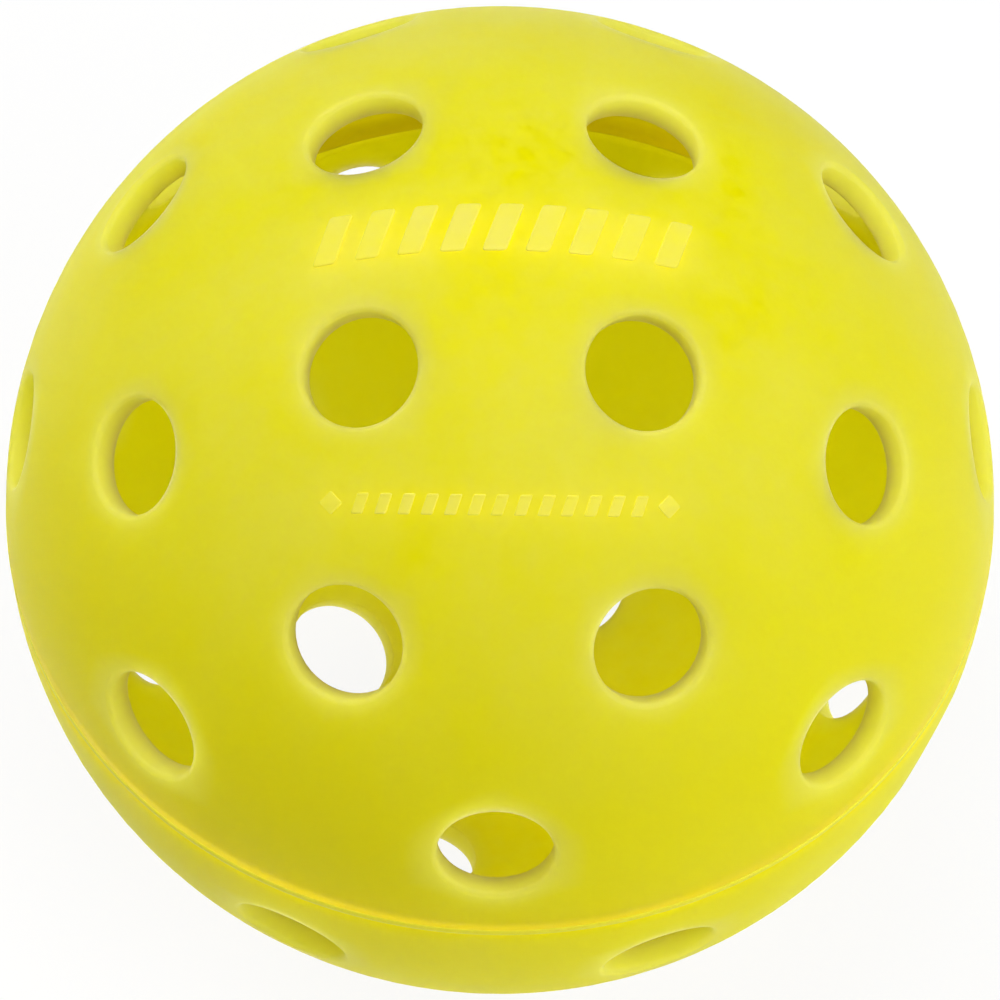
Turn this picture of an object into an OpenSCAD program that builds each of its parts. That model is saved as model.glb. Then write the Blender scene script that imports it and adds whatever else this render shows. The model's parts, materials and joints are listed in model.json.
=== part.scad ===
// Perforated playing ball for pickleball, moulded as two half shells and welded along its equator.
// Millimetres, +Z up. The origin is the centre of the ball and the seam lies in the XY plane.
// The upper half carries the raised marks: a row of bars over its pole and a finer row below it.

/* [Ball] */
// Outside diameter of the ball
ball_d = 74; // [61:0.5:100]
// Thickness of the moulded wall
wall = 1.95; // [1.5:0.05:3]

/* [Holes] */
// Bore of every hole
hole_d = 8.5; // [5:0.1:10.5]
// Width of the bevel round the outer edge of a hole
outer_bevel = 0.4; // [0.2:0.05:0.8]
// Width of the bevel round the inner edge of a hole
inner_bevel = 0.2; // [0.1:0.05:0.4]
// Angle from the pole to the ring of holes round it
pole_ring_angle = 22.9; // [21:0.1:24]
// Number of holes in the ring round the pole
pole_ring_holes = 4; // [3:1:4]
// Angle from the pole to the middle ring of holes
middle_ring_angle = 51.1; // [49:0.1:53]
// Number of holes in the middle ring
middle_ring_holes = 8; // [4:1:9]
// Angle from the pole to the ring of holes beside the seam
seam_ring_angle = 75.8; // [73:0.1:76]
// Number of holes in the ring beside the seam
seam_ring_holes = 8; // [4:1:10]
// Turn of the lower half against the upper one, as welding left it
half_turn = 20; // [0:1:45]

/* [Seam] */
// Length of the lip that the upper half pushes into the lower one
lip_h = 1.2; // [0.6:0.1:2]
// Thickness of the lip
lip_t = 0.8; // [0.4:0.05:0.95]
// Clearance round the lip and past its end, where melt can run
lip_gap = 0.05; // [0.02:0.01:0.1]
// Width of the weld bead on the outside of the ball
bead_w = 0.7; // [0.4:0.05:1.2]
// Depth of the V groove that the weld bead fills
bead_depth = 0.4; // [0.2:0.05:0.48]
// Height of the bead above the shells
bead_rise = 0.05; // [0.02:0.01:0.2]

/* [Raised marks] */
// Height of the marks above the shell
mark_rise = 0.12; // [0.05:0.01:0.3]
// Lean of the bars and dashes from upright
mark_lean = 18; // [0:1:30]
// Number of bars in the row over the pole
bar_count = 9; // [3:2:11]
// Distance from one bar to the next
bar_pitch = 3.05; // [2:0.05:3.6]
// Width of a bar
bar_w = 1.75; // [0.8:0.05:1.9]
// Length of a bar
bar_h = 4; // [2:0.1:5]
// Angle from the pole to the fine row
dash_row_angle = 32.3; // [30:0.1:34]
// Number of dashes in the fine row
dash_count = 13; // [3:2:15]
// Distance from one dash to the next
dash_pitch = 1.65; // [1.2:0.05:1.8]
// Width of a dash
dash_w = 0.85; // [0.4:0.05:1.1]
// Length of a dash
dash_h = 1.5; // [0.8:0.1:2]
// Width across the diamond at each end of the fine row
diamond_w = 1.7; // [0.8:0.1:2]

/* [Hidden] */
$fn = 96;

ball_r = ball_d / 2;
inner_r = ball_r - wall;
lip_r = inner_r + lip_t;
hole_r = hole_d / 2;
// Height over the ball's centre at which a bore breaks through the outer and the inner skin
outer_edge = sqrt(ball_r * ball_r - hole_r * hole_r);
inner_edge = sqrt(inner_r * inner_r - hole_r * hole_r);
// How far a cutting tool runs past the surface that it cuts
past = 2;
// The colours of the plastic and of the weld line
shell_yellow = [0.93, 0.91, 0.20];
bead_yellow = [0.95, 0.94, 0.38];

// The wall of a whole ball in section, to be turned round Z
module wall_section() {
  difference() {
    circle(ball_r);
    circle(inner_r);
  }
}

// Section of the weld bead: a V between the rims, with a low flat crown outside
module bead_section() {
  polygon([
    [ball_r - bead_depth, 0],
    [ball_r, bead_w / 2],
    [ball_r + bead_rise, bead_w / 4],
    [ball_r + bead_rise, -bead_w / 4],
    [ball_r, -bead_w / 2],
  ]);
}

// The V groove is open to the outside
module groove_section() {
  slope = bead_w / 2 / bead_depth;
  polygon([
    [ball_r - bead_depth, 0],
    [ball_r + past, (bead_depth + past) * slope],
    [ball_r + past, -(bead_depth + past) * slope],
  ]);
}

// Tool for one hole, standing on +Z: the bore and a bevel at each end of it
module hole_tool() {
  translate([0, 0, inner_edge - past]) cylinder(h = outer_edge - inner_edge + 2 * past, r = hole_r);
  translate([0, 0, outer_edge - outer_bevel])
    cylinder(h = outer_bevel + past, r1 = hole_r, r2 = hole_r + outer_bevel + past);
  translate([0, 0, inner_edge - past])
    cylinder(h = inner_bevel + past, r1 = hole_r + inner_bevel + past, r2 = hole_r);
}

// A ring of holes at an angle from the pole, the first of them at longitude start
module hole_ring(angle, count, start) {
  for (i = [0:count - 1]) rotate([0, angle, start + i * 360 / count]) hole_tool();
}

// All the holes of one half; each ring is half a step off the next, so every gap is alike
module half_holes() {
  hole_ring(pole_ring_angle, pole_ring_holes, 180 / pole_ring_holes);
  hole_ring(middle_ring_angle, middle_ring_holes, 180 / middle_ring_holes);
  hole_ring(seam_ring_angle, seam_ring_holes, 0);
}

// A leaning bar, drawn flat about its own centre
module leaning_bar(w, h) {
  lean = tan(mark_lean) * h / 2;
  polygon([
    [-w / 2 - lean, -h / 2],
    [w / 2 - lean, -h / 2],
    [w / 2 + lean, h / 2],
    [-w / 2 + lean, h / 2],
  ]);
}

// A row of leaning bars, centred
module bar_row(count, pitch, w, h) {
  for (i = [0:count - 1]) translate([(i - (count - 1) / 2) * pitch, 0]) leaning_bar(w, h);
}

// The fine row: dashes with a diamond at each end
module dash_row() {
  bar_row(dash_count, dash_pitch, dash_w, dash_h);
  for (side = [-1, 1])
    translate([side * ((dash_count + 1) / 2 * dash_pitch + diamond_w / 4), 0])
      rotate(45) square(diamond_w / sqrt(2), center = true);
}

// The layer that the marks are cut from, from mid-wall to their raised faces
module mark_layer() {
  difference() {
    sphere(ball_r + mark_rise);
    sphere(ball_r - wall / 2);
  }
}

module raised_marks() {
  intersection() {
    mark_layer();
    union() {
      linear_extrude(height = ball_r + past) bar_row(bar_count, bar_pitch, bar_w, bar_h);
      rotate([dash_row_angle, 0, 0]) linear_extrude(height = ball_r + past) dash_row();
    }
  }
}

// Upper half: its inner lip reaches down inside the lower half
module upper_shell() {
  color(shell_yellow) {
    difference() {
      rotate_extrude() difference() {
        intersection() {
          wall_section();
          union() {
            square([ball_r + past, ball_r + past]);
            translate([0, -lip_h]) square([lip_r, lip_h]);
          }
        }
        groove_section();
      }
      half_holes();
    }
    raised_marks();
  }
}

// Lower half: its outer rim stands up round the lip and meets the upper rim at the seam
module lower_shell() {
  color(shell_yellow) rotate([0, 0, half_turn]) mirror([0, 0, 1]) difference() {
    rotate_extrude() difference() {
      intersection() {
        wall_section();
        square([ball_r + past, ball_r + past]);
      }
      square([lip_r + lip_gap, lip_h + lip_gap]);
      groove_section();
    }
    half_holes();
  }
}

// Weld bead: the melted plastic that fills the groove and joins the halves
module weld_bead() {
  color(bead_yellow) rotate_extrude() bead_section();
}

upper_shell();
lower_shell();
weld_bead();
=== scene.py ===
import json
import math

import bmesh
import bpy
from bpy.props import FloatProperty, FloatVectorProperty, IntProperty, PointerProperty
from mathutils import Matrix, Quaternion, Vector


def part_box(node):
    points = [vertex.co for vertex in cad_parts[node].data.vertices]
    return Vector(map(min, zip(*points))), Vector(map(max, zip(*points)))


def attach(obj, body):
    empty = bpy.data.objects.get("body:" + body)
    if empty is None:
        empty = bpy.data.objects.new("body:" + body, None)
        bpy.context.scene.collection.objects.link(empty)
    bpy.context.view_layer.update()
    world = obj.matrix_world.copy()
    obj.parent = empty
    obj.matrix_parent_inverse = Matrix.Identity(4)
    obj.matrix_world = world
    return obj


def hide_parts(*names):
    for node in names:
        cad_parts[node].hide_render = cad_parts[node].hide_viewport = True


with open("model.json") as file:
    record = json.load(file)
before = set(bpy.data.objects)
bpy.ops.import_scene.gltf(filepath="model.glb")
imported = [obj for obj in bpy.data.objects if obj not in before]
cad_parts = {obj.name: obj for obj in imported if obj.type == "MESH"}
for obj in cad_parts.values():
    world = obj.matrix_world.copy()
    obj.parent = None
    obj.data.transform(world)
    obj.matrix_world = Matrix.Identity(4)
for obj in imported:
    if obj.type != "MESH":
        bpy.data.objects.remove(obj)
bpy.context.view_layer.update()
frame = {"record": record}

bl_info = {
    "name": "Perforated ball",
    "version": (1, 0, 0),
    "blender": (4, 5, 0),
    "location": "3D View > Sidebar > Ball",
    "description": "Builds the half shells, weld bead, raised marks and studio of a ball",
    "category": "Mesh",
}

MM = 0.001
LOWER_LOW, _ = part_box("lower_shell")
UPPER_LOW, UPPER_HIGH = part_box("upper_shell")
_, BEAD_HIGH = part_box("weld_bead")
CORD_HOLE = next(m for m in frame["record"]["mounts"] if m["name"] == "cord_hole")

BALL_R = -LOWER_LOW.z
HOLE_R = CORD_HOLE["dims"]["r_mm"] * MM
BEAD_HALF = BEAD_HIGH.z
BEAD_RISE = BEAD_HIGH.x - BALL_R
MARK_RISE = UPPER_HIGH.z - BALL_R
LIP_H = -UPPER_LOW.z

# The guide sphere has a meridian every 22.5 degrees and a parallel every 18, so that the cells
# round the holes, which meet like bricks, have all their corners on it.
MERIDIANS = 16
PARALLELS = 10
MERIDIAN_STEP = 360 / MERIDIANS
PARALLEL_STEP = 180 / PARALLELS

# How much painted highlight the very rim of a hole has, and how fast that fades off it: a paler
# colour that stands in for the glow and sheen of the rounded rim
RIM_HIGHLIGHT_SHARE = 0.6
RIM_HIGHLIGHT_FADE = 1.5

# Each plastic's skin: what it adds to the roughness, how much that varies from patch to patch,
# and its share of the full peel depth
SHELL_SKIN = (0.0, 0.12, 1.0)
MARK_SKIN = (-0.06, 0.06, 0.4)
WELD_SKIN = (-0.1, 0.2, 1.5)

# How far red, green and blue light travel in the plastic, as shares of the scatter
SCATTER_SHARES = (1.0, 1.0, 0.3)

# How far light travels in the marks and the bead, which are thin and lie on the wall
THIN_SCATTER = 0.1 * MM

# Cuts in each edge of a cell, and across the band between a cell's edge and its hole. A hub in
# the middle of a cell has more spokes than any other point has edges.
CELL_CUTS = 11
BAND_CUTS = 3
HUB_SPOKES = 40
# Segments in the rounding of an outer and of an inner rim
OUTER_STEPS = 7
INNER_STEPS = 3
# Corners of the bead round the ball
BEAD_STEPS = 360
# How far off its sphere, and off its hole's radius, an edge may be and still count as a rim
SPHERE_SLACK = 0.02 * MM
HOLE_SLACK = 0.06 * MM

# A raised mark is cut into rows so that it can bend, and reaches this far down into the wall.
MARK_ROWS = 8
MARK_ROOT = 0.3 * MM

# The softboxes: name, where it stands, size across and power in watts. The last is the lit
# part of the table right under the ball.
SOFTBOXES = (
    ("overhead", (0.0, 0.0, 0.8), 0.5, 3.5),
    ("upper_left", (-0.48, 0.24, 0.56), 0.5, 3.4),
    ("key", (0.36, -0.4, 0.6), 0.5, 2.45),
    ("right", (0.76, -0.08, 0.24), 0.5, 1.55),
    ("front_right", (0.52, -0.52, 0.24), 0.5, 1.0),
    ("table", (0.0, 0.0, LOWER_LOW.z + 0.1 * MM), 0.06, 0.002),
)
# The share of even light in how the floor looks
FLOOR_EVENNESS = 0.9


# ---------------------------------------------------------------- sizes and colours


class ShellSizes(bpy.types.PropertyGroup):
    """Sizes of the two half shells"""

    wall: FloatProperty(
        name="Wall", description="Thickness of the moulded wall", default=1.95 * MM, unit="LENGTH"
    )
    outer_round: FloatProperty(
        name="Outer rounding", description="Rounding of a hole's outer rim",
        default=0.5 * MM, unit="LENGTH",
    )
    inner_round: FloatProperty(
        name="Inner rounding", description="Rounding of a hole's inner rim",
        default=0.15 * MM, unit="LENGTH",
    )
    # Width of the band round each hole that gets the painted highlight, a paler colour standing in
    # for the glow and sheen of the rounded rim
    highlight_band: FloatProperty(
        name="Rim band", description="Width of the paler band round a hole", default=1.8 * MM,
        unit="LENGTH",
    )
    pole_ring: FloatProperty(
        name="Pole ring", description="Angle from the pole to the ring of 4 holes",
        default=math.radians(22.9), subtype="ANGLE",
    )
    middle_ring: FloatProperty(
        name="Middle ring", description="Angle from the pole to the middle ring of 8 holes",
        default=math.radians(51.1), subtype="ANGLE",
    )
    seam_ring: FloatProperty(
        name="Seam ring", description="Angle from the pole to the ring of 8 holes by the seam",
        default=math.radians(75.8), subtype="ANGLE",
    )
    half_turn: FloatProperty(
        name="Turn", description="Turn of the lower half against the upper one",
        default=math.radians(20), subtype="ANGLE",
    )
    lip: FloatProperty(
        name="Lip", description="Thickness of the upper half's lip", default=0.8 * MM, unit="LENGTH"
    )
    lip_gap: FloatProperty(
        name="Lip gap", description="Clearance round the lip", default=0.05 * MM, unit="LENGTH"
    )
    groove: FloatProperty(
        name="Groove", description="Depth of the groove that the weld bead fills",
        default=0.4 * MM, unit="LENGTH",
    )
    touch: FloatProperty(
        name="Touch", description="Film of air left between welded faces, for light to cross",
        default=0.02 * MM, unit="LENGTH",
    )


class MarkSizes(bpy.types.PropertyGroup):
    """Sizes of the raised marks"""

    bars: IntProperty(name="Bars", description="Bars in the row over the pole", default=9)
    bar_pitch: FloatProperty(
        name="Bar pitch", description="From one bar to the next", default=3.05 * MM, unit="LENGTH"
    )
    bar_w: FloatProperty(
        name="Bar width", description="Width of a bar", default=1.75 * MM, unit="LENGTH"
    )
    bar_h: FloatProperty(
        name="Bar length", description="Length of a bar", default=4 * MM, unit="LENGTH"
    )
    dashes: IntProperty(name="Dashes", description="Dashes in the fine row", default=13)
    dash_pitch: FloatProperty(
        name="Dash pitch", description="From one dash to the next", default=1.65 * MM, unit="LENGTH"
    )
    dash_w: FloatProperty(
        name="Dash width", description="Width of a dash", default=0.85 * MM, unit="LENGTH"
    )
    dash_h: FloatProperty(
        name="Dash length", description="Length of a dash", default=1.5 * MM, unit="LENGTH"
    )
    diamond_w: FloatProperty(
        name="Diamond width", description="Width across the diamond at each end of the fine row",
        default=1.7 * MM, unit="LENGTH",
    )
    dash_row: FloatProperty(
        name="Fine row", description="Angle from the pole to the fine row",
        default=math.radians(32.3), subtype="ANGLE",
    )
    lean: FloatProperty(
        name="Lean", description="Lean of bars and dashes",
        default=math.radians(18), subtype="ANGLE",
    )


class PlasticLooks(bpy.types.PropertyGroup):
    """Colours and finish of the plastic"""

    clear: FloatVectorProperty(
        name="Clear", description="Colour of the clearer plastic", subtype="COLOR",
        default=(0.935, 0.785, 0.0), min=0, max=1,
    )
    # The milkier plastic's colour; its blue is raised partly as painted sheen, standing in for
    # reflections of the lamps
    milky: FloatVectorProperty(
        name="Milky", description="Colour of the milkier plastic", subtype="COLOR",
        default=(0.955, 0.825, 0.06), min=0, max=1,
    )
    # Painted highlight: the paler colour mixed in round each hole's rim, standing in for the glow
    # and sheen of the rounded rim
    pale: FloatVectorProperty(
        name="Pale", description="Colour of the plastic at a rim", subtype="COLOR",
        default=(0.965, 0.86, 0.12), min=0, max=1,
    )
    raised: FloatVectorProperty(
        name="Raised", description="Colour of the raised marks", subtype="COLOR",
        default=(0.745, 0.685, 0.12), min=0, max=1,
    )
    remelt: FloatVectorProperty(
        name="Remelt", description="Colour of the plastic that the weld melted", subtype="COLOR",
        default=(0.77, 0.71, 0.03), min=0, max=1,
    )
    flow: FloatProperty(
        name="Flow", description="Most milky plastic that the flow mixes in", default=0.9
    )
    gloss: FloatProperty(name="Roughness", description="Roughness of the satin skin", default=0.42)
    grain: FloatProperty(
        name="Grain", description="Size of the orange peel", default=0.35 * MM, unit="LENGTH"
    )
    peel: FloatProperty(
        name="Peel depth", description="Depth of the orange peel", default=0.012 * MM, unit="LENGTH"
    )
    scatter: FloatProperty(
        name="Scatter", description="How far light travels inside the plastic",
        default=15 * MM, unit="LENGTH",
    )
    see_through: FloatProperty(
        name="See-through", description="Longest way that light gets straight through plastic",
        default=15 * MM, unit="LENGTH",
    )
    ior: FloatProperty(name="IOR", description="Refractive index of the plastic", default=1.2)
    sheen: FloatProperty(name="Sheen", description="Strength of the reflections", default=0.27)


class StageSizes(bpy.types.PropertyGroup):
    """Camera, lights and floor"""

    tilt: FloatProperty(
        name="Tilt", description="Angle between the camera and the ball's pole",
        default=math.radians(31.75), subtype="ANGLE",
    )
    roll: FloatProperty(
        name="Roll", description="Roll of the camera", default=math.radians(0.7), subtype="ANGLE"
    )
    frame_fill: FloatProperty(
        name="Frame fill", description="Share of the frame's width that the ball takes up",
        default=0.988,
    )
    distance: FloatProperty(
        name="Distance", description="Distance from the camera to the ball's centre",
        default=16.75 * BALL_R, unit="LENGTH",
    )
    light: FloatProperty(
        name="Light", description="Share of the softboxes' full power", default=1.0
    )


# ---------------------------------------------------------------- modelling helpers


def start_object(name):
    """Names the active new object and its mesh."""
    obj = bpy.context.object
    obj.name = obj.data.name = name
    return obj


def deselect_objects():
    for other in bpy.context.selected_objects:
        other.select_set(False)


def only(obj):
    deselect_objects()
    obj.select_set(True)
    bpy.context.view_layer.objects.active = obj
    return obj


def edit_mode():
    bpy.ops.object.mode_set(mode="EDIT")


def object_mode():
    bpy.ops.object.mode_set(mode="OBJECT")


def live_mesh():
    return bmesh.from_edit_mesh(bpy.context.object.data)


def pick(kind, wanted):
    """Selects the vertices, edges or faces that the test wants, and nothing else."""
    bpy.ops.mesh.select_all(action="DESELECT")
    bpy.ops.mesh.select_mode(type=kind)
    mesh = live_mesh()
    for part in {"VERT": mesh.verts, "EDGE": mesh.edges, "FACE": mesh.faces}[kind]:
        if wanted(part):
            part.select = True
    mesh.select_flush_mode()
    bmesh.update_edit_mesh(bpy.context.object.data)


def apply_modifier(obj, kind, **settings):
    only(obj)
    modifier = obj.modifiers.new(kind.lower(), kind)
    for key, value in settings.items():
        setattr(modifier, key, value)
    bpy.ops.object.modifier_apply(modifier=modifier.name)


def onto_sphere(obj, radius):
    apply_modifier(
        obj, "CAST", cast_type="SPHERE", factor=1.0, radius=0.0, size=radius,
        use_radius_as_size=False,
    )


def place(obj, rotation=(0, 0, 0), scale=(1, 1, 1)):
    """Turns or scales a finished mesh about the origin and keeps that in the mesh."""
    only(obj)
    obj.rotation_euler = rotation
    obj.scale = scale
    bpy.ops.object.transform_apply(location=True, rotation=True, scale=True)


def copy_of(obj, name):
    twin = obj.copy()
    twin.data = obj.data.copy()
    twin.name = twin.data.name = name
    bpy.context.collection.objects.link(twin)
    return twin


def join(objects, name):
    only(objects[0])
    for obj in objects:
        obj.select_set(True)
    if len(objects) > 1:
        bpy.ops.object.join()
    return start_object(name)


def smooth(obj):
    """Smooth shading whose normals follow the large faces, so roundings blend into the wall."""
    only(obj)
    bpy.ops.object.shade_smooth()
    apply_modifier(obj, "WEIGHTED_NORMAL", mode="FACE_AREA", weight=50, keep_sharp=False)


def finish_piece(obj, material, node):
    obj.data.materials.clear()
    obj.data.materials.append(material)
    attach(obj, "root")
    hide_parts(node)


# ---------------------------------------------------------------- half shells


def from_pole(point):
    return math.degrees(math.acos(max(-1.0, min(1.0, point.z / point.length))))


def meridian(point):
    return round(math.degrees(math.atan2(point.y, point.x)) / MERIDIAN_STEP) % MERIDIANS


def hole_axes(sizes):
    """Unit vectors through the 20 holes of a half, ring by ring from the pole."""
    axes = []
    rings = ((sizes.pole_ring, 4, 45.0), (sizes.middle_ring, 8, 22.5), (sizes.seam_ring, 8, 0.0))
    for angle, count, first in rings:
        for index in range(count):
            turn = math.radians(first + index * 360 / count)
            flat = math.sin(angle)
            axes.append(Vector((flat * math.cos(turn), flat * math.sin(turn), math.cos(angle))))
    return axes


def is_cell_corner(vert):
    """Corners that a slanting cell edge joins: 3 parallels down on even meridians, 4 on odd."""
    step = meridian(vert.co)
    down = round(from_pole(vert.co) / PARALLEL_STEP)
    return (down == 3 and step % 2 == 0) or (down == 4 and step % 2 == 1)


def is_inside_cell(edge):
    """Edges of the guide sphere that cross a cell, not those that bound one."""
    ends = sorted((vert.co for vert in edge.verts), key=from_pole)
    upper, lower = (round(from_pole(end) / PARALLEL_STEP) for end in ends)
    if upper == lower:
        return upper not in (2, 5)
    step = meridian(ends[1])
    if upper and meridian(ends[0]) != step:
        return False
    if upper < 2:
        return step % 4 != 0
    if upper == 2:
        return step % 2 == 1
    if upper == 3:
        return True
    return step % 2 == 0


def half_skin(name, sizes, radius, foot):
    """One skin of a half shell: a cell of quads round each hole. foot is its lowest height."""
    deselect_objects()
    bpy.ops.mesh.primitive_uv_sphere_add(segments=MERIDIANS, ring_count=PARALLELS, radius=radius)
    skin = start_object(name)
    edit_mode()
    bpy.ops.mesh.select_all(action="SELECT")
    bpy.ops.mesh.bisect(plane_co=(0, 0, 0), plane_no=(0, 0, 1), clear_inner=True)
    pick("VERT", is_cell_corner)
    bpy.ops.mesh.vert_connect()
    pick("EDGE", is_inside_cell)
    bpy.ops.mesh.dissolve_edges(use_verts=False)
    bpy.ops.mesh.select_all(action="SELECT")
    bpy.ops.mesh.subdivide(number_cuts=CELL_CUTS, ngon=True)
    pick("VERT", lambda vert: vert.is_boundary)
    bpy.ops.transform.translate(value=(0, 0, foot))
    object_mode()
    onto_sphere(skin, radius)
    edit_mode()
    bpy.ops.mesh.select_all(action="SELECT")
    bpy.ops.mesh.poke(center_mode="MEDIAN")
    hubs = [vert.co.copy() for vert in live_mesh().verts if len(vert.link_edges) > HUB_SPOKES]
    for axis in hole_axes(sizes):
        hub = min(hubs, key=lambda co: (co.normalized() - axis).length)
        pick("VERT", lambda vert: (vert.co - hub).length < 1e-6)
        bpy.ops.transform.translate(value=axis * radius - hub)
    pick("VERT", lambda vert: len(vert.link_edges) > HUB_SPOKES)
    bpy.ops.mesh.bevel(
        offset_type="OFFSET", offset=HOLE_R, affect="VERTICES", segments=1, clamp_overlap=False
    )
    pick("FACE", lambda face: len(face.verts) > HUB_SPOKES)
    bpy.ops.mesh.delete(type="ONLY_FACE")
    rim = {vert.index for vert in live_mesh().verts if vert.is_boundary and not is_foot(vert, foot)}
    pick("EDGE", lambda edge: len(rim.intersection(v.index for v in edge.verts)) == 1)
    bpy.ops.mesh.subdivide(number_cuts=BAND_CUTS)
    object_mode()
    onto_sphere(skin, radius)
    return skin


def is_foot(vert, foot):
    return abs(vert.co.z - foot) < 0.1 * MM


def bridge_holes(sizes):
    """Joins the outer and the inner skin through every hole."""
    reach = math.cos(math.asin(HOLE_R / BALL_R) * 1.3)
    for axis in hole_axes(sizes):
        pick("EDGE", lambda edge: edge.is_boundary and all(
            vert.co.normalized().dot(axis) > reach for vert in edge.verts
        ))
        bpy.ops.mesh.bridge_edge_loops()


def round_rims(sizes, radius, width, segments):
    """Rounds the rims that lie on a sphere of the given radius."""
    axes = hole_axes(sizes)

    def on_rim(edge):
        if any(abs(vert.co.length - radius) > SPHERE_SLACK for vert in edge.verts):
            return False
        middle = (edge.verts[0].co + edge.verts[1].co) / 2
        axis = max(axes, key=middle.dot)
        off_axis = [(vert.co - axis * vert.co.dot(axis)).length for vert in edge.verts]
        return all(abs(off - HOLE_R) < HOLE_SLACK for off in off_axis)

    pick("EDGE", on_rim)
    bpy.ops.mesh.bevel(
        offset_type="OFFSET", offset=width, segments=segments, profile=0.5, clamp_overlap=False
    )


def step_in(height, radius, next_height, next_radius):
    """Extrudes the selected round edge loop to the next height and radius of the joint."""
    bpy.ops.mesh.extrude_edges_move(
        TRANSFORM_OT_translate={"value": (0, 0, next_height - height)}
    )
    share = next_radius / radius
    bpy.ops.transform.resize(value=(share, share, 1), center_override=(0, 0, next_height))


def half_shell(name, sizes, outer_foot, inner_foot, joint):
    """A closed half shell, pole up. joint lists (height, radius) from the outer edge inwards."""
    inner_radius = BALL_R - sizes.wall
    outer = half_skin(name, sizes, BALL_R, outer_foot)
    inner = half_skin(name + "_inside", sizes, inner_radius, inner_foot)
    edit_mode()
    bpy.ops.mesh.select_all(action="SELECT")
    bpy.ops.mesh.flip_normals()
    object_mode()
    shell = join([outer, inner], name)
    edit_mode()
    bridge_holes(sizes)
    pick("EDGE", lambda edge: edge.is_boundary and all(
        vert.co.length > BALL_R - 0.1 * MM for vert in edge.verts
    ))
    height, radius = outer_foot, math.sqrt(BALL_R**2 - outer_foot**2)
    for next_height, next_radius in joint:
        step_in(height, radius, next_height, next_radius)
        height, radius = next_height, next_radius
    pick("EDGE", lambda edge: edge.is_boundary)
    bpy.ops.mesh.bridge_edge_loops()
    round_rims(sizes, BALL_R, sizes.outer_round, OUTER_STEPS)
    round_rims(sizes, inner_radius, sizes.inner_round, INNER_STEPS)
    bpy.ops.mesh.select_all(action="SELECT")
    bpy.ops.mesh.normals_make_consistent(inside=False)
    object_mode()
    paint_rim_highlight(shell, sizes)
    return shell


def paint_rim_highlight(shell, sizes):
    """Stores each point's share of the painted rim highlight, a paler colour standing in for the
    glow and sheen of the rounded rim, as the attribute named rim.
    """
    axes = hole_axes(sizes)
    rim = shell.data.attributes.new("rim", "FLOAT", "POINT")
    for vert, value in zip(shell.data.vertices, rim.data):
        axis = max(axes, key=vert.co.dot)
        off_rim = (vert.co - axis * vert.co.dot(axis)).length - HOLE_R
        near = max(0.0, 1.0 - max(0.0, off_rim) / sizes.highlight_band)
        value.value = RIM_HIGHLIGHT_SHARE * near**RIM_HIGHLIGHT_FADE


def upper_joint(sizes):
    """Heights and radii of the upper rim: groove, bearing land, lip reaching down inside."""
    lip_r = BALL_R - sizes.wall + sizes.lip
    return (
        (sizes.touch, BALL_R - sizes.groove),
        (sizes.touch, lip_r),
        (-LIP_H, lip_r),
    )


def lower_joint(sizes):
    """The lower rim, drawn pole up: groove, bearing land, then the seat round the lip."""
    seat_r = BALL_R - sizes.wall + sizes.lip + sizes.lip_gap
    return (
        (sizes.touch, BALL_R - sizes.groove),
        (sizes.touch, seat_r),
        (LIP_H + sizes.lip_gap, seat_r),
    )


class BALL_OT_upper_half(bpy.types.Operator):
    """Model the upper half shell, with its holes and its lip"""

    bl_idname = "ball.upper_half"
    bl_label = "Upper half"

    def execute(self, context):
        sizes = context.scene.ball_shell
        shell = half_shell("upper_half", sizes, BEAD_HALF, -LIP_H, upper_joint(sizes))
        smooth(shell)
        finish_piece(shell, shell_plastic(), "upper_shell")
        return {"FINISHED"}


class BALL_OT_lower_half(bpy.types.Operator):
    """Model the lower half shell, turned against the upper one as welding left it"""

    bl_idname = "ball.lower_half"
    bl_label = "Lower half"

    def execute(self, context):
        sizes = context.scene.ball_shell
        seat = LIP_H + sizes.lip_gap
        shell = half_shell("lower_half", sizes, BEAD_HALF, seat, lower_joint(sizes))
        place(shell, rotation=(0, 0, sizes.half_turn), scale=(1, 1, -1))
        edit_mode()
        bpy.ops.mesh.select_all(action="SELECT")
        bpy.ops.mesh.normals_make_consistent(inside=False)
        object_mode()
        smooth(shell)
        finish_piece(shell, shell_plastic(), "lower_shell")
        return {"FINISHED"}


# ---------------------------------------------------------------- weld bead


class BALL_OT_weld_bead(bpy.types.Operator):
    """Model the weld bead that fills the groove between the halves"""

    bl_idname = "ball.weld_bead"
    bl_label = "Weld bead"

    def execute(self, context):
        sizes = context.scene.ball_shell
        half = BEAD_HALF - sizes.touch
        section = (
            (BALL_R - sizes.groove + 2 * sizes.touch, 0.0),
            (BALL_R - 0.3 * sizes.groove, -0.7 * half),
            (BALL_R, -half),
            (BALL_R + 0.7 * BEAD_RISE, -0.6 * half),
            (BALL_R + BEAD_RISE, 0.0),
            (BALL_R + 0.7 * BEAD_RISE, 0.6 * half),
            (BALL_R, half),
            (BALL_R - 0.3 * sizes.groove, 0.7 * half),
        )
        deselect_objects()
        bpy.ops.mesh.primitive_circle_add(vertices=len(section), radius=BEAD_HALF)
        bead = start_object("seam_bead")
        for vert, (radius, height) in zip(bead.data.vertices, section):
            vert.co = (radius, 0.0, height)
        edit_mode()
        bpy.ops.mesh.select_all(action="SELECT")
        bpy.ops.mesh.spin(steps=BEAD_STEPS, angle=math.tau, center=(0, 0, 0), axis=(0, 0, 1))
        bpy.ops.mesh.select_all(action="SELECT")
        bpy.ops.mesh.remove_doubles(threshold=0.001 * MM)
        bpy.ops.mesh.normals_make_consistent(inside=False)
        object_mode()
        only(bead)
        bpy.ops.object.shade_smooth()
        finish_piece(bead, weld_plastic(), "weld_bead")
        return {"FINISHED"}


# ---------------------------------------------------------------- raised marks


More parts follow.
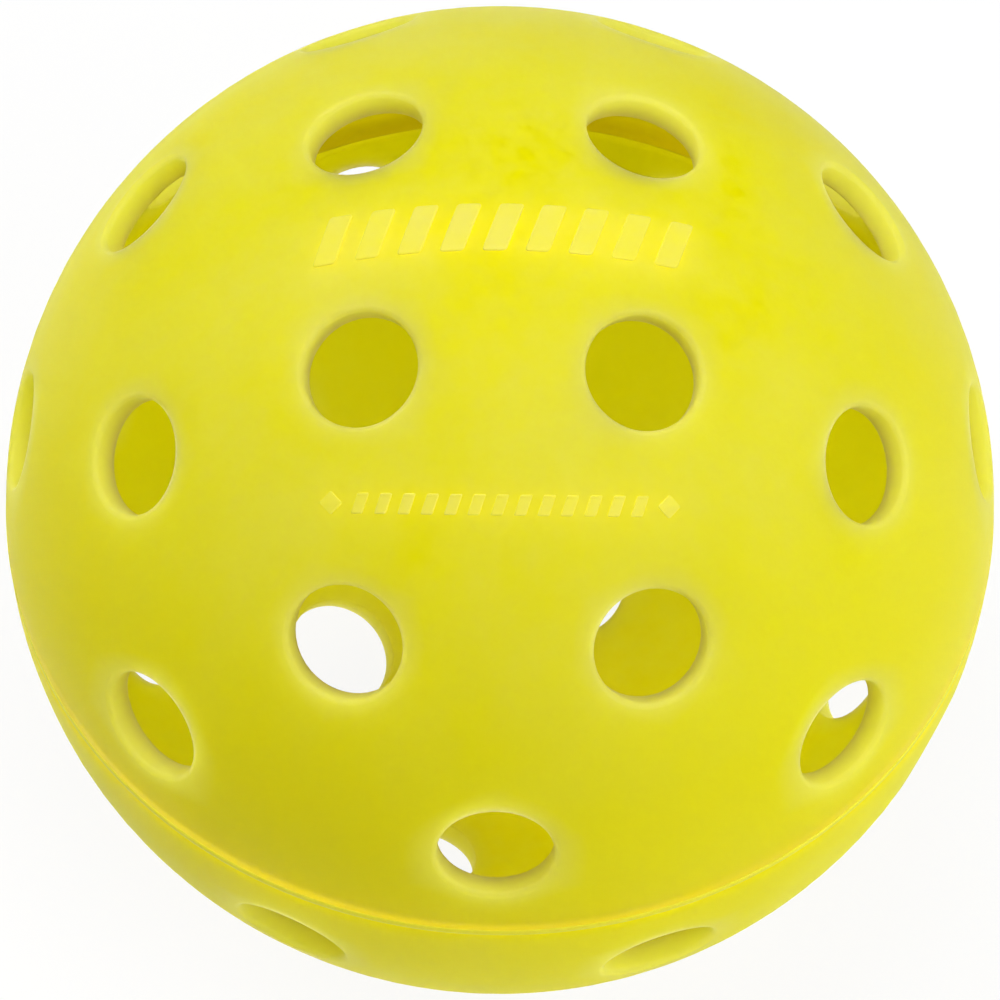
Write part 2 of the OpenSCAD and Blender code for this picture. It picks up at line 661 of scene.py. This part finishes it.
def flat_mark(name, width, height):
    """A flat plate under the pole of the raised layer, in edit mode, to be shaped."""
    deselect_objects()
    bpy.ops.mesh.primitive_plane_add(size=1, location=(0, 0, BALL_R))
    mark = start_object(name)
    place(mark)
    edit_mode()
    bpy.ops.mesh.select_all(action="SELECT")
    bpy.ops.transform.resize(value=(width, height, 1), center_override=(0, 0, BALL_R))
    return mark


def leaning_mark(name, width, height, lean):
    """One bar or dash, leaning over and with rounded corners."""
    mark = flat_mark(name, width, height)
    for side in (-1, 1):
        pick("VERT", lambda vert: vert.co.y * side > 0)
        bpy.ops.transform.translate(value=(side * math.tan(lean) * height / 2, 0, 0))
    return round_and_raise(mark, 0.16 * width, height)


def diamond_mark(name, width):
    """One diamond, a square stood on its corner."""
    side = width / math.sqrt(2)
    mark = flat_mark(name, side, side)
    bpy.ops.transform.rotate(
        value=math.radians(45), orient_axis="Z", center_override=(0, 0, BALL_R)
    )
    return round_and_raise(mark, 0.1 * side, width)


def round_and_raise(mark, corner, height):
    """Rounds a flat plate's corners, bends it over the ball and gives it soft raised edges."""
    pick("VERT", lambda vert: True)
    bpy.ops.mesh.bevel(offset=corner, segments=4, affect="VERTICES")
    for row in range(1, MARK_ROWS):
        bpy.ops.mesh.select_all(action="SELECT")
        level = (row / MARK_ROWS - 0.5) * height
        bpy.ops.mesh.bisect(plane_co=(0, level, 0), plane_no=(0, 1, 0))
    object_mode()
    onto_sphere(mark, BALL_R + MARK_RISE)
    apply_modifier(mark, "SOLIDIFY", thickness=MARK_ROOT, offset=-1.0)
    edit_mode()
    top = BALL_R + MARK_RISE - 0.01 * MM

    def on_top_edge(edge):
        if any(vert.co.length < top for vert in edge.verts):
            return False
        return any(
            any(vert.co.length < top for vert in face.verts) for face in edge.link_faces
        )

    pick("EDGE", on_top_edge)
    bpy.ops.mesh.bevel(offset=MARK_RISE * 0.9, segments=3, profile=0.5, clamp_overlap=True)
    object_mode()
    return mark


def copies_along(mark, name, offsets):
    """Copies of a mark at the given distances from the middle of its row, over the ball."""
    copies = []
    for aside in offsets:
        twin = copy_of(mark, name)
        place(twin, rotation=(0, math.asin(aside / BALL_R), 0))
        copies.append(twin)
    bpy.data.objects.remove(mark)
    return copies


def centred(count, pitch):
    return [(index - (count - 1) / 2) * pitch for index in range(count)]


class BALL_OT_raised_marks(bpy.types.Operator):
    """Model the row of bars over the pole and the fine row of dashes below it"""

    bl_idname = "ball.raised_marks"
    bl_label = "Raised marks"

    def execute(self, context):
        sizes = context.scene.ball_marks
        bar = leaning_mark("bar", sizes.bar_w, sizes.bar_h, sizes.lean)
        bars = join(
            copies_along(bar, "bar", centred(sizes.bars, sizes.bar_pitch)), "raised_bars"
        )
        dash = leaning_mark("dash", sizes.dash_w, sizes.dash_h, sizes.lean)
        fine = copies_along(dash, "dash", centred(sizes.dashes, sizes.dash_pitch))
        end = (sizes.dashes + 1) / 2 * sizes.dash_pitch + sizes.diamond_w / 4
        fine += copies_along(diamond_mark("diamond", sizes.diamond_w), "diamond", (-end, end))
        dashes = join(fine, "raised_dashes")
        place(dashes, rotation=(sizes.dash_row, 0, 0))
        for row in (bars, dashes):
            smooth(row)
            finish_piece(row, mark_plastic(), "upper_shell")
        return {"FINISHED"}


# ---------------------------------------------------------------- materials


def new_group(name, inputs, outputs):
    """An empty shader node group with the named sockets, or None if it is there already."""
    if name in bpy.data.node_groups:
        return None
    tree = bpy.data.node_groups.new(name, "ShaderNodeTree")
    for direction, sockets in (("INPUT", inputs), ("OUTPUT", outputs)):
        for label, kind, default in sockets:
            socket = tree.interface.new_socket(
                name=label, in_out=direction, socket_type="NodeSocket" + kind
            )
            if default is not None:
                socket.default_value = default
    tree.nodes.new("NodeGroupInput").name = "in"
    tree.nodes.new("NodeGroupOutput").name = "out"
    return tree


def add(tree, kind, settings=None, **inputs):
    """Adds a node; inputs are values or sockets to link, by name with _ for a space."""
    node = tree.nodes.new("ShaderNode" + kind)
    for key, value in (settings or {}).items():
        setattr(node, key, value)
    for key, value in inputs.items():
        connect(tree, node, key.replace("_", " "), value)
    return node


def connect(tree, node, key, value):
    socket = node.inputs[int(key[1:])] if key[0] == "#" else node.inputs[key]
    if isinstance(value, bpy.types.NodeSocket):
        tree.links.new(value, socket)
    else:
        socket.default_value = value


def calc(tree, operation, *values):
    """A Math node on sockets or numbers."""
    node = tree.nodes.new("ShaderNodeMath")
    node.operation = operation
    for index, value in enumerate(values):
        connect(tree, node, f"#{index}", value)
    return node.outputs[0]


def noise(tree, where, size, detail, rough):
    """Noise whose features are about the given size across."""
    scale = calc(tree, "DIVIDE", 1.0, size)
    return add(
        tree, "TexNoise", Vector=where, Scale=scale, Detail=detail, Roughness=rough
    ).outputs["Fac"]


def moulded_grain():
    """Shared: the fine orange peel that the mould leaves, and how it spreads the gloss."""
    name = "moulded_grain"
    tree = new_group(
        name,
        (
            ("Grain", "Float", 0.35 * MM),
            ("Patch", "Float", 9 * MM),
            ("Gloss", "Float", 0.4),
            ("Spread", "Float", 0.1),
        ),
        (("Height", "Float", None), ("Roughness", "Float", None)),
    )
    if tree is None:
        return bpy.data.node_groups[name]
    given = tree.nodes["in"].outputs
    where = tree.nodes.new("ShaderNodeTexCoord").outputs["Object"]
    peel = noise(tree, where, given["Grain"], 2.0, 0.55)
    ripple = noise(tree, where, calc(tree, "MULTIPLY", given["Grain"], 7.0), 1.0, 0.5)
    patch = noise(tree, where, given["Patch"], 2.0, 0.5)
    depth = calc(tree, "MULTIPLY_ADD", patch, 1.2, 0.1)
    height = calc(tree, "MULTIPLY_ADD", ripple, 1.6, calc(tree, "MULTIPLY", peel, depth))
    blotch = calc(tree, "ADD", patch, calc(tree, "MULTIPLY", peel, 0.5))
    swing = calc(tree, "SUBTRACT", blotch, 0.75)
    tree.links.new(height, tree.nodes["out"].inputs["Height"])
    tree.links.new(
        calc(tree, "MULTIPLY_ADD", swing, given["Spread"], given["Gloss"]),
        tree.nodes["out"].inputs["Roughness"],
    )
    return tree


def flow_colour():
    """Shared: the slow drift between clear and milky plastic, drawn out as the melt flowed, and the
    painted highlight, a paler colour round each hole's rim.
    """
    name = "flow_colour"
    tree = new_group(
        name,
        (
            ("Clear", "Color", (0.9, 0.85, 0.01, 1)),
            ("Milky", "Color", (0.95, 0.9, 0.1, 1)),
            ("Pale", "Color", (0.97, 0.92, 0.2, 1)),
            ("Patch", "Float", 12 * MM),
            ("Amount", "Float", 0.5),
        ),
        (("Color", "Color", None),),
    )
    if tree is None:
        return bpy.data.node_groups[name]
    given = tree.nodes["in"].outputs
    where = tree.nodes.new("ShaderNodeTexCoord").outputs["Object"]
    drawn = add(tree, "Mapping", Vector=where, Scale=(1.0, 1.0, 0.45)).outputs["Vector"]
    cloud = noise(tree, drawn, given["Patch"], 3.0, 0.55)
    speck = noise(tree, drawn, calc(tree, "MULTIPLY", given["Patch"], 0.12), 2.0, 0.6)
    blend = calc(tree, "MULTIPLY_ADD", speck, 0.35, cloud)
    share = add(
        tree, "MapRange", Value=blend, From_Min=0.45, From_Max=0.9,
        To_Min=0.0, To_Max=given["Amount"],
    ).outputs["Result"]
    # The melt went in at the poles and ran to the seam, and is milkier where it went in; the milky
    # colour's blue is partly painted sheen, so this puts that painted sheen towards the poles
    height = add(tree, "SeparateXYZ", Vector=where).outputs["Z"]
    fresh = add(
        tree, "MapRange", Value=calc(tree, "ABSOLUTE", height), From_Min=0.3 * BALL_R,
        From_Max=0.95 * BALL_R, To_Min=0.1, To_Max=1.0,
    ).outputs["Result"]
    mixed = add(tree, "Mix", {"data_type": "RGBA"})
    connect(tree, mixed, "#0", calc(tree, "MULTIPLY", share, fresh))
    connect(tree, mixed, "#6", given["Clear"])
    connect(tree, mixed, "#7", given["Milky"])
    # Painted highlight: the rim attribute mixes a paler colour in round each hole, standing in for
    # the glow and sheen of its rounded rim
    rim = add(tree, "Attribute", {"attribute_name": "rim"}).outputs["Fac"]
    rim_highlighted = add(tree, "Mix", {"data_type": "RGBA"})
    connect(tree, rim_highlighted, "#0", rim)
    connect(tree, rim_highlighted, "#6", mixed.outputs[2])
    connect(tree, rim_highlighted, "#7", given["Pale"])
    tree.links.new(rim_highlighted.outputs[2], tree.nodes["out"].inputs["Color"])
    return tree


def plastic(name, clear, milky, pale, skin, scatter):
    """A see-through satin plastic: flow colour with a painted rim highlight, and moulded grain, on
    a scattering shader.
    """
    material = bpy.data.materials.get(name)
    if material:
        return material
    material = bpy.data.materials.new(name)
    material.use_nodes = True
    tree = material.node_tree
    looks = bpy.context.scene.ball_plastic
    rougher, spread, peel_share = skin
    shader = tree.nodes["Principled BSDF"]
    colour = add(
        tree, "Group", {"node_tree": flow_colour()},
        Clear=solid(clear), Milky=solid(milky), Pale=solid(pale), Amount=looks.flow,
    )
    grain = add(
        tree, "Group", {"node_tree": moulded_grain()},
        Grain=looks.grain, Gloss=looks.gloss + rougher, Spread=spread,
    )
    bump = add(tree, "Bump", Height=grain.outputs["Height"], Distance=looks.peel * peel_share)
    tree.links.new(colour.outputs["Color"], shader.inputs["Base Color"])
    tree.links.new(grain.outputs["Roughness"], shader.inputs["Roughness"])
    tree.links.new(bump.outputs["Normal"], shader.inputs["Normal"])
    shader.inputs["IOR"].default_value = looks.ior
    shader.inputs["Specular IOR Level"].default_value = looks.sheen
    shader.inputs["Subsurface Weight"].default_value = 1.0
    shader.inputs["Subsurface Radius"].default_value = SCATTER_SHARES
    shader.inputs["Subsurface Scale"].default_value = scatter
    # Light that has only a short way to go through plastic gets through, as across the weld
    path = tree.nodes.new("ShaderNodeLightPath").outputs
    short = calc(tree, "LESS_THAN", path["Ray Length"], looks.see_through)
    lit_through = calc(tree, "MULTIPLY", path["Is Shadow Ray"], short)
    tree.links.new(calc(tree, "SUBTRACT", 1.0, lit_through), shader.inputs["Alpha"])
    return material


def solid(colour):
    return (*colour, 1.0)


def shell_plastic():
    looks = bpy.context.scene.ball_plastic
    return plastic(
        "ball_yellow_plastic", looks.clear, looks.milky, looks.pale, SHELL_SKIN, looks.scatter
    )


def mark_plastic():
    looks = bpy.context.scene.ball_plastic
    return plastic(
        "mark_yellow_plastic", looks.raised, looks.remelt, looks.raised, MARK_SKIN, THIN_SCATTER
    )


def weld_plastic():
    looks = bpy.context.scene.ball_plastic
    return plastic(
        "weld_yellow_plastic", looks.remelt, looks.raised, looks.remelt, WELD_SKIN, THIN_SCATTER
    )


# ---------------------------------------------------------------- stage


def area_light(name, place_m, size, power):
    data = bpy.data.lights.new(name, "AREA")
    data.shape = "DISK"
    data.size = size
    data.energy = power
    lamp = bpy.data.objects.new(name, data)
    bpy.context.collection.objects.link(lamp)
    lamp.location = place_m
    lamp.rotation_mode = "QUATERNION"
    lamp.rotation_quaternion = (-Vector(place_m)).to_track_quat("-Z", "Y")
    return lamp


def floor_paper():
    """Pale paper: it bounces light as paper does, and looks evenly lit with a faint shadow."""
    material = bpy.data.materials.new("pale_floor")
    material.use_nodes = True
    tree = material.node_tree
    paper = tree.nodes["Principled BSDF"]
    paper.inputs["Base Color"].default_value = (0.88, 0.88, 0.88, 1)
    paper.inputs["Roughness"].default_value = 0.9
    glow = add(tree, "Emission", Color=(1, 1, 1, 1), Strength=1.0)
    even = add(tree, "MixShader", Fac=FLOOR_EVENNESS)
    tree.links.new(paper.outputs[0], even.inputs[1])
    tree.links.new(glow.outputs[0], even.inputs[2])
    seen = add(tree, "MixShader")
    tree.links.new(tree.nodes.new("ShaderNodeLightPath").outputs["Is Camera Ray"], seen.inputs[0])
    tree.links.new(paper.outputs[0], seen.inputs[1])
    tree.links.new(even.outputs[0], seen.inputs[2])
    tree.links.new(seen.outputs[0], tree.nodes["Material Output"].inputs["Surface"])
    return material


class BALL_OT_stage(bpy.types.Operator):
    """Set up the camera, the soft studio light and the pale floor"""

    bl_idname = "ball.stage"
    bl_label = "Studio"

    def execute(self, context):
        scene = context.scene
        sizes = scene.ball_stage
        data = bpy.data.cameras.new("camera")
        camera = bpy.data.objects.new("camera", data)
        context.collection.objects.link(camera)
        away = Vector((0, -math.sin(sizes.tilt), math.cos(sizes.tilt)))
        camera.location = away * sizes.distance
        camera.rotation_mode = "QUATERNION"
        roll = Quaternion((0, 0, 1), sizes.roll)
        camera.rotation_quaternion = (-away).to_track_quat("-Z", "Y") @ roll
        spread = BALL_R / math.sqrt(sizes.distance**2 - BALL_R**2)
        data.lens = data.sensor_width / 2 * sizes.frame_fill / spread
        scene.camera = camera
        scene.view_settings.view_transform = "Standard"
        world = bpy.data.worlds.new("studio")
        scene.world = world
        world.use_nodes = True
        # The backdrop looks pale past the floor, but sheds no light
        backdrop = world.node_tree.nodes["Background"]
        backdrop.inputs["Color"].default_value = (1, 1, 1, 1)
        seen = world.node_tree.nodes.new("ShaderNodeLightPath").outputs["Is Camera Ray"]
        world.node_tree.links.new(seen, backdrop.inputs["Strength"])
        for name, stand, size, power in SOFTBOXES:
            area_light(name, stand, size, power * sizes.light)
        deselect_objects()
        bpy.ops.mesh.primitive_plane_add(size=6, location=(0, 0, LOWER_LOW.z))
        floor = start_object("floor")
        place(floor)
        floor.data.materials.append(floor_paper())
        return {"FINISHED"}


class BALL_PT_sidebar(bpy.types.Panel):
    """Lists the ball's operators"""

    bl_label = "Perforated ball"
    bl_idname = "BALL_PT_sidebar"
    bl_space_type = "VIEW_3D"
    bl_region_type = "UI"
    bl_category = "Ball"

    def draw(self, context):
        for operator in OPERATORS:
            self.layout.operator(operator.bl_idname)


GROUPS = {
    "ball_shell": ShellSizes,
    "ball_marks": MarkSizes,
    "ball_plastic": PlasticLooks,
    "ball_stage": StageSizes,
}
OPERATORS = (
    BALL_OT_stage,
    BALL_OT_upper_half,
    BALL_OT_lower_half,
    BALL_OT_weld_bead,
    BALL_OT_raised_marks,
)
CLASSES = (*GROUPS.values(), *OPERATORS, BALL_PT_sidebar)


def register():
    for cls in CLASSES:
        bpy.utils.register_class(cls)
    for name, group in GROUPS.items():
        setattr(bpy.types.Scene, name, PointerProperty(type=group))


def unregister():
    for name in GROUPS:
        delattr(bpy.types.Scene, name)
    for cls in reversed(CLASSES):
        bpy.utils.unregister_class(cls)


def main():
    register()
    bpy.ops.ball.stage()
    bpy.ops.ball.upper_half()
    bpy.ops.ball.lower_half()
    bpy.ops.ball.weld_bead()
    bpy.ops.ball.raised_marks()


if __name__ == "__main__":
    main()
